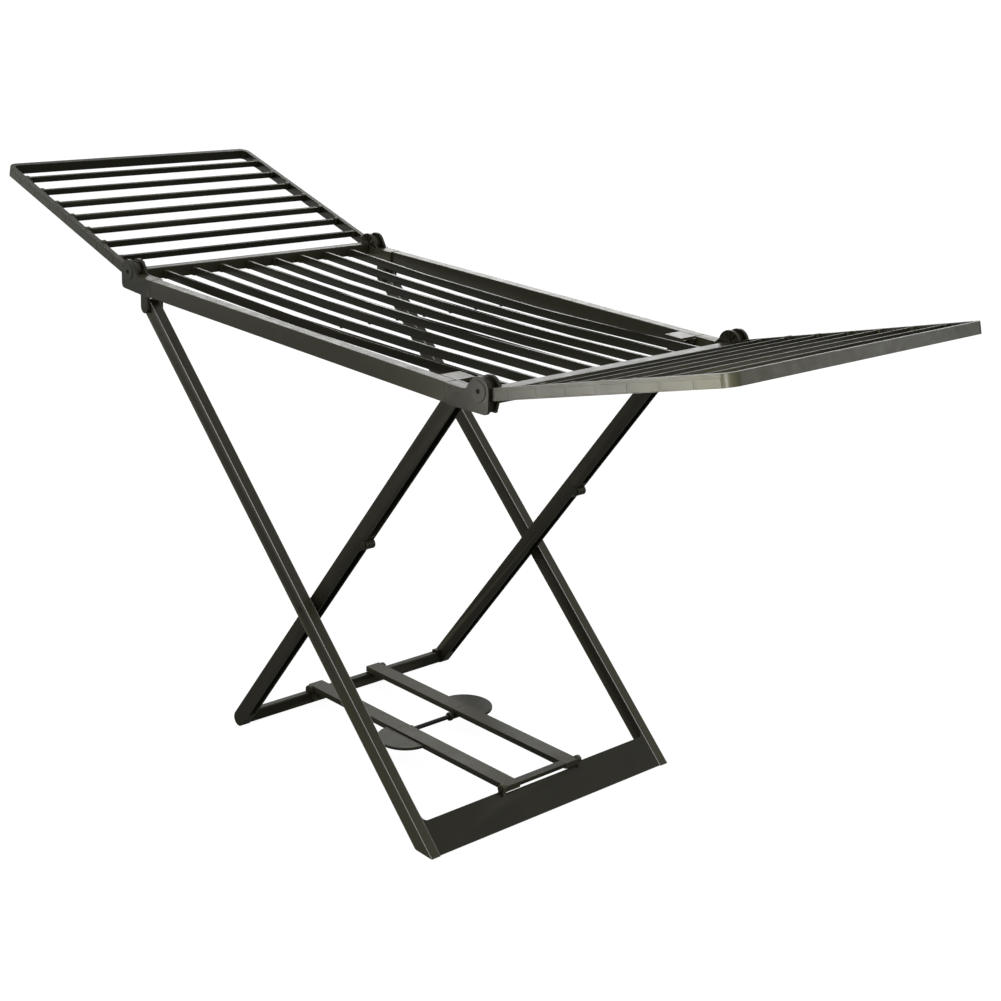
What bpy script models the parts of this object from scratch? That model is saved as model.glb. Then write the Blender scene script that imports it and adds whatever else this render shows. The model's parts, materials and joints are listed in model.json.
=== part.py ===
"""Free-standing X-frame clothes airer with two fold-over wings.

Metres, +Z up.  X runs along the deck, Y across it.  The origin is on the floor
under the middle of the airer, which stands open and ready for use.
"""
import math

import bmesh
import bpy
from mathutils import Matrix, Vector

# ---------------------------------------------------------------- sizes
GAP = 0.0003                # clearance left between two touching pieces
PLAY = 0.0005               # clearance beside a piece that turns

DECK_TOP = 0.760            # top of the side rails above the floor
DECK_WIDTH = 0.550          # over the two side rails
RAIL_WIDTH = 0.021
RAIL_HEIGHT = 0.030
RAIL_HALF_LENGTH = 0.385    # a rail ends at its corner brackets
RAIL_WALL = 0.003

HINGE_X = 0.455             # wing hinge axes, either side of the middle
HINGE_Z = 0.763
LUG_RADIUS = 0.021
CHEEK = 0.0053              # thickness of a bracket's cheek plates

SLAT_COUNT = 8
SLAT_PITCH = 0.058
SLAT_WIDTH = 0.006
SLAT_HEIGHT = 0.014
SLAT_TOP = 0.760            # at the slats' ends
SLAT_SAG = (0.0065, 0.0110)  # dip at mid-length of the front and of the back slat
SLAT_NUB_X = -0.020         # a small nub under each slat
END_BAR_X = 0.460
END_BAR_WIDTH = 0.020
END_BAR_HEIGHT = 0.020
END_BAR_TOP = 0.765

WING_LENGTH = 0.452         # hinge axis to the tip
WING_ANGLE = math.radians(15.6)
WING_ROD_COUNT = 7
WING_ROD_WIDTH = 0.005
WING_ROD_HEIGHT = 0.011
WING_RAIL_WIDTH = 0.0092
WING_RAIL_HEIGHT = 0.018
WING_RAIL_TOP = 0.0025      # top face above the plane through the hinge axis
WING_TIP_RADIUS = 0.018
WING_HALF_WIDTH = 0.2692
KNUCKLE_RADIUS = 0.0145
KNUCKLE_WIDTH = 0.0135
RAIL_START = 0.020          # where a wing's side rail begins, from its hinge

LEG_HALF_DEPTH = 0.0135     # all legs, seen from the side
LEG_WALL = 0.003
MAIN_LEG_OUTER = 0.268      # the main legs lie outside the brace legs
MAIN_LEG_WIDTH = 0.019
MAIN_LEG_SLOPE = math.radians(-42.46)
MAIN_PIVOT = Vector((-0.405, 0.710))     # X and Z of the deck's hinge on the main legs
BRACE_LEG_OUTER = 0.2408
BRACE_LEG_WIDTH = 0.018
BRACE_SLOPE = math.radians(-126.70)
BRACE_PIVOT_X = 0.3716
KNEE_OFFSET = 0.0147        # the knee pins lie just outside the brace legs' lower face
KNEE_RADIUS = 0.0080
FOOT_BOARD_WIDTH = 0.060    # measured along the main legs
BOARD_NOTCH = 0.0055        # the board's top edge is lowered this much under the stretcher
FOOT_BAR_Z = 0.0125
FOOT_BAR_WIDTH = 0.014
FOOT_BAR_HEIGHT = 0.022

STRUT_RAIL_Y = 0.0665       # middle of each stretcher rail
STRUT_RAIL_WIDTH = 0.030
STRUT_RAIL_HEIGHT = 0.010
STRUT_LUG_ALONG = 1.004     # lug axis along the main legs from the deck's hinge
STRUT_LUG_RISE = 0.0183     # and above their middle line
STRUT_LUG_RADIUS = 0.0075
STRUT_LUG_WIDTH = 0.0065
STRUT_PIN_DROP = 0.003      # middle axle below the stretcher's underside
STRUT_KNUCKLE_RADIUS = 0.0065
STRUT_END = 0.007           # the stretcher's front end beyond its lug axis
STRUT_OVERHANG = 0.0075     # and its rear end beyond the middle of the foot bar
PEDAL_RADIUS = 0.049
PEDAL_THICKNESS = 0.005
PEDAL_SHIFT = {-1: -0.029, 1: 0.003}     # each pedal's middle, rearwards from the axle

ROUND = 24                  # segments round a full circle


# ---------------------------------------------------------------- linkage in side view
def direction(angle):
    return Vector((math.cos(angle), math.sin(angle)))


def left_of(vector):
    return Vector((-vector.y, vector.x))


MAIN_DIR = direction(MAIN_LEG_SLOPE)
MAIN_UP = left_of(MAIN_DIR)
BRACE_DIR = direction(BRACE_SLOPE)
BRACE_LOW = left_of(BRACE_DIR)           # points to the brace legs' lower, open side

# Folded flat, each brace upper lies beside its lower, two knee offsets nearer the deck.
BRACE_PIVOT = Vector((BRACE_PIVOT_X, MAIN_PIVOT.y + 2 * KNEE_OFFSET))


def crossing(p, p_dir, q, q_dir):
    """Distances from p and from q to the point where two lines cross."""
    det = p_dir.x * -q_dir.y + q_dir.x * p_dir.y
    d = q - p
    along_p = (d.x * -q_dir.y + q_dir.x * d.y) / det
    along_q = (p_dir.x * d.y - p_dir.y * d.x) / det
    return along_p, along_q


MAIN_TO_CROSS, BRACE_TO_CROSS = crossing(MAIN_PIVOT, MAIN_DIR, BRACE_PIVOT, BRACE_DIR)
CROSS = MAIN_PIVOT + MAIN_DIR * MAIN_TO_CROSS
# The knee sits where both halves of a brace leg lie along the deck when it is folded.
KNEE_TO_CROSS = (BRACE_TO_CROSS - (BRACE_PIVOT.x - MAIN_PIVOT.x) + MAIN_TO_CROSS) / 2
KNEE = CROSS - BRACE_DIR * KNEE_TO_CROSS
KNEE_PIN = KNEE + BRACE_LOW * KNEE_OFFSET

MAIN_LENGTH = MAIN_PIVOT.y / -MAIN_DIR.y             # middle line down to the floor
BRACE_FOOT = CROSS + BRACE_DIR * ((CROSS.y - LEG_HALF_DEPTH) / -BRACE_DIR.y)
FOOT_BAR = CROSS + BRACE_DIR * ((CROSS.y - FOOT_BAR_Z) / -BRACE_DIR.y)
FOOT_BAR_FOLDED = MAIN_TO_CROSS + (FOOT_BAR - CROSS).length

STRUT_LUG = MAIN_PIVOT + MAIN_DIR * STRUT_LUG_ALONG + MAIN_UP * STRUT_LUG_RISE
# Underside of the stretcher: from under the lug axis to the top of the foot bar.
UNDER_FRONT = STRUT_LUG - Vector((0.0, STRUT_RAIL_HEIGHT / 2))
UNDER_REAR = FOOT_BAR + Vector((0.0, FOOT_BAR_HEIGHT / 2 + GAP))
UNDER_DIR = (UNDER_REAR - UNDER_FRONT).normalized()
UNDER_UP = -left_of(UNDER_DIR)


def strut_axle(fraction):
    """Middle axle, a fraction of the way from the lug axis to the foot bar."""
    return UNDER_FRONT.lerp(UNDER_REAR, fraction) - UNDER_UP * STRUT_PIN_DROP


def strut_mismatch(fraction):
    """How far the folded rear half misses the foot bar with the front half level."""
    axle = strut_axle(fraction)
    front = (axle - STRUT_LUG).length
    rear = (axle - FOOT_BAR).length
    drop = STRUT_RAIL_HEIGHT / 2 + STRUT_PIN_DROP
    folded_along = STRUT_LUG_ALONG - math.sqrt(front ** 2 - drop ** 2)
    folded_rise = STRUT_LUG_RISE - drop
    return math.hypot(FOOT_BAR_FOLDED - folded_along, folded_rise) - rear


def bisect(function, low, high, steps=50):
    sign = function(low) > 0
    for _ in range(steps):
        middle = (low + high) / 2
        if (function(middle) > 0) == sign:
            low = middle
        else:
            high = middle
    return (low + high) / 2


STRUT_AXLE = strut_axle(bisect(strut_mismatch, 0.45, 0.60))

RAIL_OUTER = DECK_WIDTH / 2
RAIL_INNER = RAIL_OUTER - RAIL_WIDTH
RAIL_BOTTOM = DECK_TOP - RAIL_HEIGHT
MAIN_LEG_INNER = MAIN_LEG_OUTER - MAIN_LEG_WIDTH
BRACE_LEG_INNER = BRACE_LEG_OUTER - BRACE_LEG_WIDTH
INNER_CHEEK = WING_HALF_WIDTH - KNUCKLE_WIDTH - PLAY - CHEEK   # its side next to the deck
BRACKET_INNER = 0.2430                                        # the ears' inner faces
STRUT_INNER = STRUT_RAIL_Y - STRUT_RAIL_WIDTH / 2
STRUT_OUTER = STRUT_RAIL_Y + STRUT_RAIL_WIDTH / 2


# ---------------------------------------------------------------- scene and material
for old in list(bpy.data.objects):
    bpy.data.objects.remove(old, do_unlink=True)

airer = bpy.data.collections.new("clothes_airer")
cutters = bpy.data.collections.new("cutters")
bpy.context.scene.collection.children.link(airer)
bpy.context.scene.collection.children.link(cutters)


def plastic(name, colour, roughness):
    material = bpy.data.materials.new(name)
    material.use_nodes = True
    shader = material.node_tree.nodes["Principled BSDF"]
    shader.inputs["Base Color"].default_value = (*colour, 1.0)
    shader.inputs["Roughness"].default_value = roughness
    shader.inputs["Metallic"].default_value = 0.0
    return material


FRAME_PLASTIC = plastic("charcoal_plastic", (0.026, 0.025, 0.022), 0.42)
PIN_PLASTIC = plastic("black_acetal", (0.018, 0.018, 0.017), 0.35)


# ---------------------------------------------------------------- shape helpers
def make_object(name, mesh, material=None, collection=None):
    obj = bpy.data.objects.new(name, mesh)
    (collection or airer).objects.link(obj)
    if material:
        mesh.materials.clear()
        mesh.materials.append(material)
    if collection is cutters:
        obj.hide_render = True
        obj.display_type = "WIRE"
    return obj


def bevel(obj, width, segments=2):
    modifier = obj.modifiers.new("rounded_edges", "BEVEL")
    modifier.width = width
    modifier.segments = segments
    modifier.limit_method = "ANGLE"
    modifier.angle_limit = math.radians(40)
    return modifier


def box(name, low, high, material=None, collection=None):
    """A box between two opposite corners."""
    low, high = Vector(low), Vector(high)
    bm = bmesh.new()
    bmesh.ops.create_cube(bm, size=1.0)
    bmesh.ops.scale(bm, vec=high - low, verts=bm.verts)
    bmesh.ops.translate(bm, vec=(high + low) / 2, verts=bm.verts)
    mesh = bpy.data.meshes.new(name)
    bm.to_mesh(mesh)
    bm.free()
    return make_object(name, mesh, material, collection)


def arc(centre, radius, start, end, segments=8):
    """Points on an arc, angles in degrees."""
    points = []
    for i in range(segments + 1):
        angle = math.radians(start + (end - start) * i / segments)
        points.append(Vector(centre) + direction(angle) * radius)
    return points


def slab(name, outline, low, high, material=None, collection=None, holes=()):
    """A flat outline in X and Z, extruded from Y = low to Y = high."""
    curve = bpy.data.curves.new(name, "CURVE")
    curve.dimensions = "2D"
    curve.fill_mode = "BOTH"
    curve.extrude = (high - low) / 2
    for loop in (outline, *holes):
        spline = curve.splines.new("POLY")
        spline.points.add(len(loop) - 1)
        for point, place in zip(spline.points, loop):
            point.co = (place[0], place[1], 0.0, 1.0)
        spline.use_cyclic_u = True
    guide = bpy.data.objects.new(name + "_outline", curve)
    cutters.objects.link(guide)
    bpy.context.view_layer.update()
    evaluated = guide.evaluated_get(bpy.context.evaluated_depsgraph_get())
    mesh = bpy.data.meshes.new_from_object(evaluated)
    bpy.data.objects.remove(guide, do_unlink=True)
    bm = bmesh.new()
    bm.from_mesh(mesh)
    bmesh.ops.remove_doubles(bm, verts=bm.verts, dist=0.00001)
    bmesh.ops.transform(bm, matrix=Matrix.Rotation(math.radians(90), 4, "X"), verts=bm.verts)
    bmesh.ops.translate(bm, vec=(0.0, (low + high) / 2, 0.0), verts=bm.verts)
    bmesh.ops.dissolve_limit(bm, angle_limit=math.radians(0.5), verts=bm.verts, edges=bm.edges)
    bmesh.ops.recalc_face_normals(bm, faces=bm.faces)
    bm.to_mesh(mesh)
    bm.free()
    mesh.name = name
    return make_object(name, mesh, material, collection)


def rod_y(name, place, radius, low, high, material=None, collection=None, segments=ROUND):
    """A round bar along Y at an X and Z place."""
    bm = bmesh.new()
    bmesh.ops.create_cone(bm, cap_ends=True, segments=segments, radius1=radius,
                          radius2=radius, depth=high - low)
    bmesh.ops.transform(bm, matrix=Matrix.Rotation(math.radians(90), 4, "X"), verts=bm.verts)
    bmesh.ops.translate(bm, vec=(place[0], (low + high) / 2, place[1]), verts=bm.verts)
    mesh = bpy.data.meshes.new(name)
    bm.to_mesh(mesh)
    bm.free()
    smooth(mesh)
    return make_object(name, mesh, material, collection)


def plate(name, outline, low, high, material=None):
    """A flat outline in X and Y, extruded from Z = low to Z = high."""
    obj = slab(name, outline, -high, -low, material)
    obj.data.transform(Matrix.Rotation(math.radians(-90), 4, "X"))
    return obj


def smooth(mesh):
    mesh.shade_smooth()
    mesh.set_sharp_from_angle(angle=math.radians(35))


def combine(obj, tools, operation):
    """Join tools to an object, or cut them from it, with Boolean modifiers."""
    for tool in tools:
        modifier = obj.modifiers.new(tool.name, "BOOLEAN")
        modifier.operation = operation
        modifier.solver = "EXACT"
        modifier.object = tool
        if tool.name not in cutters.objects:
            cutters.objects.link(tool)
            airer.objects.unlink(tool)
            tool.hide_render = True
            tool.display_type = "WIRE"
    return obj


def join(obj, tools):
    return combine(obj, tools, "UNION")


def cut(obj, tools):
    return combine(obj, tools, "DIFFERENCE")


def side_span(side, inner, outer):
    """Y limits, low first, of something between two distances on one side (-1 or 1)."""
    return (inner, outer) if side > 0 else (-outer, -inner)


def strip(start, end, low, high):
    """Outline of a straight bar in side view: offsets to the left of its direction."""
    along = (end - start).normalized()
    up = left_of(along)
    return [start + up * low, end + up * low, end + up * high, start + up * high]


SIDES = ((-1, "front"), (1, "back"))


# ---------------------------------------------------------------- deck
def side_rail(side, label):
    low, high = side_span(side, RAIL_INNER, RAIL_OUTER)
    rail = box("deck_rail_" + label, (-RAIL_HALF_LENGTH, low, RAIL_BOTTOM),
               (RAIL_HALF_LENGTH, high, DECK_TOP), FRAME_PLASTIC)
    bevel(rail, 0.0025)
    channel = box("rail_channel_" + label,
                  (-RAIL_HALF_LENGTH + RAIL_WALL, low + RAIL_WALL, RAIL_BOTTOM - 0.01),
                  (RAIL_HALF_LENGTH - RAIL_WALL, high - RAIL_WALL, DECK_TOP - RAIL_WALL),
                  collection=cutters)
    return cut(rail, [channel])


def web_inner(end):
    """Inner face of the corner brackets at one end; the left ones carry the main legs."""
    return BRACKET_INNER if end < 0 else INNER_CHEEK + 0.0002


def end_bar(end, label):
    x = end * END_BAR_X
    half = END_BAR_WIDTH / 2
    reach = INNER_CHEEK - GAP
    bar = box("deck_end_bar_" + label, (x - half, -reach, END_BAR_TOP - END_BAR_HEIGHT),
              (x + half, reach, END_BAR_TOP), FRAME_PLASTIC)
    bevel(bar, 0.0015)
    return bar


def slat(index):
    """A thin bar that dips in the middle, with a small nub under its mid-length."""
    y = (index - (SLAT_COUNT - 1) / 2) * SLAT_PITCH
    reach = END_BAR_X - END_BAR_WIDTH / 2 - GAP
    sag = SLAT_SAG[0] + (SLAT_SAG[1] - SLAT_SAG[0]) * index / (SLAT_COUNT - 1)
    nub_half, nub_drop, spans = 0.0025, 0.0015, 12

    def top(x):
        return SLAT_TOP - sag * (1 - (x / reach) ** 2)

    stations = [reach * (2 * i / spans - 1) for i in range(spans + 1)]
    outline = [Vector((x, top(x))) for x in reversed(stations)]
    under = [Vector((x, top(x) - SLAT_HEIGHT)) for x in stations]
    nub_top = top(SLAT_NUB_X) - SLAT_HEIGHT
    for x, drops in ((SLAT_NUB_X - nub_half, (0, nub_drop)), (SLAT_NUB_X + nub_half, (nub_drop, 0))):
        under += [Vector((x, nub_top - drop)) for drop in drops]
    outline += sorted(under, key=lambda point: point.x)
    bar = slab("deck_slat_%d" % (index + 1), outline, y - SLAT_WIDTH / 2, y + SLAT_WIDTH / 2,
               FRAME_PLASTIC)
    bevel(bar, 0.0012)
    return bar


def mirrored(points, end):
    """Outline drawn for the right end, turned over for the left."""
    return [Vector((end * p.x, p.y)) for p in points]


def cheek_outline():
    """Side view of a corner bracket's cheek at the right end of the deck."""
    axis = Vector((HINGE_X, HINGE_Z))
    outboard = HINGE_X + LUG_RADIUS
    corner = 0.008
    bottom = RAIL_BOTTOM + 0.002
    points = [Vector((RAIL_HALF_LENGTH + GAP, RAIL_BOTTOM))]
    points += [Vector((RAIL_HALF_LENGTH + 0.030, RAIL_BOTTOM))]
    points += arc((outboard - corner, bottom + corner), corner, -90, 0, 5)
    points += arc(axis, LUG_RADIUS, 0, 152, 12)
    points += [Vector((HINGE_X - 0.026, DECK_TOP + 0.002)), Vector((HINGE_X - 0.034, DECK_TOP))]
    points += [Vector((RAIL_HALF_LENGTH + GAP, DECK_TOP))]
    return points


def inner_cheek_outline():
    axis = Vector((HINGE_X, HINGE_Z))
    bottom = RAIL_BOTTOM + 0.002
    points = [Vector((RAIL_HALF_LENGTH + GAP, bottom)), Vector((HINGE_X + 0.014, bottom))]
    points += arc(axis, LUG_RADIUS, -20, 170, 12)
    points += [Vector((HINGE_X - 0.028, DECK_TOP)), Vector((RAIL_HALF_LENGTH + GAP, DECK_TOP))]
    return points


def ear_outline():
    """The part of a left bracket that hangs below the rail and carries a main leg."""
    radius = 0.0105
    top = RAIL_BOTTOM + 0.006
    points = [Vector((MAIN_PIVOT.x + radius, top)), Vector((MAIN_PIVOT.x - radius, top))]
    points += arc(MAIN_PIVOT, radius, 180, 360, 10)
    return points


def corner_bracket(end, side, end_label, side_label):
    name = "corner_bracket_%s_%s" % (end_label, side_label)
    outer = side_span(side, WING_HALF_WIDTH + PLAY, RAIL_OUTER)
    inner = side_span(side, INNER_CHEEK, INNER_CHEEK + CHEEK)
    bracket = slab(name, mirrored(cheek_outline(), end), *outer, FRAME_PLASTIC)
    parts = [slab(name + "_cheek", mirrored(inner_cheek_outline(), end), *inner)]
    web = side_span(side, web_inner(end), RAIL_OUTER - 0.001)
    x_low, x_high = sorted((end * (RAIL_HALF_LENGTH + GAP), end * (HINGE_X - 0.018)))
    parts.append(box(name + "_web", (x_low, web[0], RAIL_BOTTOM),
                     (x_high, web[1], DECK_TOP - 0.0005)))
    floor = side_span(side, INNER_CHEEK + 0.001, RAIL_OUTER - 0.001)
    x_low, x_high = sorted((end * (HINGE_X - 0.020), end * (HINGE_X + 0.010)))
    parts.append(box(name + "_floor", (x_low, floor[0], RAIL_BOTTOM + 0.003),
                     (x_high, floor[1], HINGE_Z - KNUCKLE_RADIUS - 0.001)))
    if end < 0:
        ears = ((MAIN_LEG_OUTER + 2 * PLAY, RAIL_OUTER - 0.0002),
                (BRACKET_INNER + 0.0002, MAIN_LEG_INNER - PLAY))
        for i, ear in enumerate(ears):
            parts.append(slab(name + "_ear_%d" % i, ear_outline(), *side_span(side, *ear)))
    join(bracket, parts)
    holes = [rod_y(name + "_hinge_hole", (end * HINGE_X, HINGE_Z), 0.0038,
                   *side_span(side, INNER_CHEEK - 0.01, RAIL_OUTER + 0.01))]
    if end < 0:
        holes.append(rod_y(name + "_ear_hole", MAIN_PIVOT, 0.0043,
                           *side_span(side, BRACKET_INNER - 0.01, RAIL_OUTER + 0.01)))
    return cut(bracket, holes)


def brace_socket(side, label):
    """Bridge plate between a rail and the nearest slat, with two cheeks for a brace leg."""
    name = "brace_socket_" + label
    x, z = BRACE_PIVOT
    plate = side_span(side, BRACE_LEG_INNER - 0.0060, RAIL_INNER - GAP)
    socket = box(name, (x - 0.022, plate[0], DECK_TOP - 0.0052),
                 (RAIL_HALF_LENGTH - GAP, plate[1], DECK_TOP), FRAME_PLASTIC)
    outline = [Vector((x - 0.020, DECK_TOP - 0.002))] + arc((x, z), 0.0150, 180, 360, 10)
    outline += [Vector((x + 0.020, DECK_TOP - 0.002))]
    cheeks = ((BRACE_LEG_OUTER + PLAY, BRACE_LEG_OUTER + PLAY + 0.0055),
              (BRACE_LEG_INNER - PLAY - 0.0050, BRACE_LEG_INNER - PLAY))
    parts = [slab(name + "_cheek_%d" % i, outline, *side_span(side, *span))
             for i, span in enumerate(cheeks)]
    tie = side_span(side, BRACE_LEG_OUTER + PLAY + 0.001, RAIL_INNER - GAP)
    parts.append(box(name + "_tie", (x - 0.012, tie[0], RAIL_BOTTOM + 0.004),
                     (x + 0.012, tie[1], DECK_TOP - 0.001)))
    join(socket, parts)
    hole = rod_y(name + "_hole", (x, z), 0.0038,
                 *side_span(side, BRACE_LEG_INNER - 0.010, BRACE_LEG_OUTER + 0.0070))
    return cut(socket, [hole])


# ---------------------------------------------------------------- wings
def wing(end, label):
    """One moulding: two side rails, a tip bar and the rods, drawn level, then tilted."""
    name = "wing_" + label
    top, bottom = WING_RAIL_TOP, WING_RAIL_TOP - WING_RAIL_HEIGHT
    inner = WING_HALF_WIDTH - WING_RAIL_WIDTH
    radius = WING_TIP_RADIUS
    tip = Vector((WING_LENGTH - radius, WING_HALF_WIDTH - radius))
    outside = [Vector((RAIL_START, -WING_HALF_WIDTH))]
    outside += arc((tip.x, -tip.y), radius, -90, 0, 6) + arc(tip, radius, 0, 90, 6)
    outside += [Vector((RAIL_START, WING_HALF_WIDTH))]
    small = radius - WING_RAIL_WIDTH
    inside = [Vector((RAIL_START, inner))] + arc(tip, small, 90, 0, 4)
    inside += arc((tip.x, -tip.y), small, 0, -90, 4) + [Vector((RAIL_START, -inner))]
    frame = plate(name, outside + inside, bottom, top, FRAME_PLASTIC)
    pitch = (WING_LENGTH - WING_RAIL_WIDTH / 2) / (WING_ROD_COUNT + 1)
    rod_top, lap = top - 0.0010, 0.0030
    collar, collar_reach = 0.0007, 0.0080
    rods = []
    for i in range(WING_ROD_COUNT):
        x_low, x_high = pitch * (i + 1) - WING_ROD_WIDTH / 2, pitch * (i + 1) + WING_ROD_WIDTH / 2
        rods.append(box("%s_rod_%d" % (name, i), (x_low, -inner - lap, rod_top - WING_ROD_HEIGHT),
                        (x_high, inner + lap, rod_top)))
        for side, side_label in SIDES:
            y_low, y_high = side_span(side, inner - collar_reach, inner + lap - 0.0005)
            rods.append(box("%s_collar_%d_%s" % (name, i, side_label),
                            (x_low - collar, y_low, rod_top - WING_ROD_HEIGHT - collar),
                            (x_high + collar, y_high, rod_top + collar / 2)))
    knuckles, holes = [], []
    for side, side_label in SIDES:
        span = side_span(side, WING_HALF_WIDTH - KNUCKLE_WIDTH, WING_HALF_WIDTH)
        outline = arc((0, 0), KNUCKLE_RADIUS, 10, 280, 14)
        outline += [Vector((RAIL_START + 0.012, bottom + 0.0002)),
                    Vector((RAIL_START + 0.012, top - 0.0002))]
        knuckles.append(slab("%s_knuckle_%s" % (name, side_label), outline,
                             span[0] + 0.0002, span[1] - 0.0002))
        holes.append(rod_y("%s_hole_%s" % (name, side_label), (0, 0), 0.0038,
                           span[0] - 0.01, span[1] + 0.01))
    place = Matrix.Translation((end * HINGE_X, 0.0, HINGE_Z))
    if end < 0:
        place = place @ Matrix.Rotation(math.radians(180), 4, "Z")
    place = place @ Matrix.Rotation(-WING_ANGLE, 4, "Y")
    for obj in [frame, *rods, *knuckles, *holes]:
        obj.data.transform(place)
    join(frame, rods + knuckles)
    cut(frame, holes)
    return frame


def hinge_pin(end, side, end_label, side_label):
    span = side_span(side, INNER_CHEEK + 0.0002, RAIL_OUTER - 0.0008)
    return rod_y("hinge_pin_%s_%s" % (end_label, side_label), (end * HINGE_X, HINGE_Z),
                 0.0035, *span, PIN_PLASTIC, segments=16)


# ---------------------------------------------------------------- main legs
def main_leg_outline():
    end_high = MAIN_PIVOT + MAIN_DIR * MAIN_LENGTH
    foot = LEG_HALF_DEPTH / -MAIN_DIR.y                   # half the flat foot on the floor
    slope = math.degrees(MAIN_LEG_SLOPE)
    points = arc(MAIN_PIVOT, LEG_HALF_DEPTH, slope + 90, slope + 270, 12)
    points += [Vector((end_high.x - foot, 0.0)), Vector((end_high.x + foot, 0.0))]
    return points


def leg_channel(name, start, end, low, high, span):
    """Cutter that hollows a leg between two offsets from its middle line."""
    return slab(name, strip(start, end, low, high), *span, collection=cutters)


def main_leg_frame():
    name = "main_leg_frame"
    front = side_span(-1, MAIN_LEG_INNER, MAIN_LEG_OUTER)
    frame = slab(name, main_leg_outline(), *front, FRAME_PLASTIC)
    back = side_span(1, MAIN_LEG_INNER, MAIN_LEG_OUTER)
    parts = [slab(name + "_back", main_leg_outline(), *back)]
    foot = LEG_HALF_DEPTH / -MAIN_DIR.y
    toe = Vector((MAIN_PIVOT.x + MAIN_DIR.x * MAIN_LENGTH + foot, 0.0))
    top = toe - MAIN_DIR * FOOT_BOARD_WIDTH

    def inside(v, z=0.004):
        """Point in the board at a depth below its upper face and a height off the floor."""
        u = (z + MAIN_UP.y * v) / -MAIN_DIR.y
        return toe - MAIN_DIR * u - MAIN_UP * v

    skin, depth = 0.0002, 2 * LEG_HALF_DEPTH - 0.0002
    board = [inside(depth, skin), inside(skin, skin), top - MAIN_UP * skin,
             top - MAIN_UP * depth]
    reach = MAIN_LEG_OUTER - 0.001
    parts.append(slab(name + "_board", board, -reach, reach))
    # Two lugs for the stretcher stand up from the board's top edge.
    for side, label in SIDES:
        span = side_span(side, STRUT_OUTER + PLAY, STRUT_OUTER + PLAY + STRUT_LUG_WIDTH)
        outline = arc(STRUT_LUG, STRUT_LUG_RADIUS, 225, 15, 10)
        outline += [top + MAIN_DIR * 0.012 - MAIN_UP * 0.001,
                    top + MAIN_DIR * 0.004 - MAIN_UP * 0.014]
        parts.append(slab("%s_lug_%s" % (name, label), outline, *span))
    # Webs round the corners between the legs and the board.
    lie = Matrix(((MAIN_DIR.x, 0, MAIN_UP.x, 0), (0, 1, 0, 0), (MAIN_DIR.y, 0, MAIN_UP.y, 0),
                  (0, 0, 0, 1)))
    board_top = (top - MAIN_UP * LEG_HALF_DEPTH - MAIN_PIVOT).dot(MAIN_DIR)
    radius = 0.010
    for side, label in SIDES:
        corner = (board_top, MAIN_LEG_INNER)
        web = [Vector((corner[0] + 0.002, corner[1] + 0.002)),
               Vector((corner[0] - radius, corner[1] + 0.002))]
        web += arc((corner[0] - radius, corner[1] - radius), radius, 90, 0, 6)
        web += [Vector((corner[0] + 0.002, corner[1] - radius))]
        web = [Vector((p.x, side * p.y)) for p in web]
        gusset = plate("%s_corner_%s" % (name, label), web, LEG_HALF_DEPTH - LEG_WALL,
                       LEG_HALF_DEPTH - 0.0003)
        gusset.data.transform(Matrix.Translation((MAIN_PIVOT.x, 0, MAIN_PIVOT.y)) @ lie)
        parts.append(gusset)
    join(frame, parts)

    holes = []
    leg_end = MAIN_PIVOT + MAIN_DIR * (MAIN_LENGTH - 0.085)
    for side, label in SIDES:
        inner = side_span(side, MAIN_LEG_INNER + LEG_WALL, MAIN_LEG_OUTER - LEG_WALL)
        floor = LEG_HALF_DEPTH - LEG_WALL
        gaps = ((0.022, MAIN_TO_CROSS - 0.012), (MAIN_TO_CROSS + 0.012, None))
        for i, (begin, finish) in enumerate(gaps):
            stop = leg_end if finish is None else MAIN_PIVOT + MAIN_DIR * finish
            holes.append(leg_channel("main_channel_%s_%d" % (label, i),
                                     MAIN_PIVOT + MAIN_DIR * begin, stop,
                                     -LEG_HALF_DEPTH - 0.01, floor, inner))
        holes.append(rod_y("main_top_hole_" + label, MAIN_PIVOT, 0.0043,
                           *side_span(side, MAIN_LEG_INNER - 0.01, MAIN_LEG_OUTER + 0.01)))
        holes.append(rod_y("main_cross_hole_" + label, CROSS, 0.0053,
                           *side_span(side, MAIN_LEG_INNER - 0.01, MAIN_LEG_OUTER + 0.01)))
        holes.append(rod_y("strut_lug_hole_" + label, STRUT_LUG, 0.0034,
                           *side_span(side, STRUT_RAIL_Y, STRUT_OUTER + 0.02)))
    # The board is hollow behind, and its top edge is lowered under the stretcher.
    lowered = top + MAIN_DIR * BOARD_NOTCH
    ceiling, past = lowered + MAIN_DIR * LEG_WALL, 0.035
    hollow = [inside(LEG_WALL), ceiling - MAIN_UP * LEG_WALL, ceiling - MAIN_UP * past,
              inside(past)]
    reach = MAIN_LEG_INNER - 0.004
    holes.append(slab("board_hollow", hollow, -reach, reach, collection=cutters))
    before = top - MAIN_DIR * 0.02
    notch_reach = STRUT_OUTER + PLAY - 0.0002
    holes.append(slab("board_notch", strip(before, lowered, -past, 0.01),
                      -notch_reach, notch_reach, collection=cutters))
    return cut(frame, holes)


# ---------------------------------------------------------------- brace legs
def knee_leaf(name, side, inner, outer):
    """A knuckle on the knee pin, which runs into its half of the leg."""
    return rod_y(name, KNEE_PIN, KNEE_RADIUS, *side_span(side, inner, outer), segments=20)


LEAF_SPLIT = (BRACE_LEG_INNER + 0.0058, BRACE_LEG_OUTER - 0.0058)


def leaf_relief(name, side, inner, outer):
    """Cutter that makes room for the other half's knuckle."""
    return rod_y(name, KNEE_PIN, KNEE_RADIUS + 0.0006, *side_span(side, inner, outer),
                 collection=cutters, segments=20)


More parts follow.
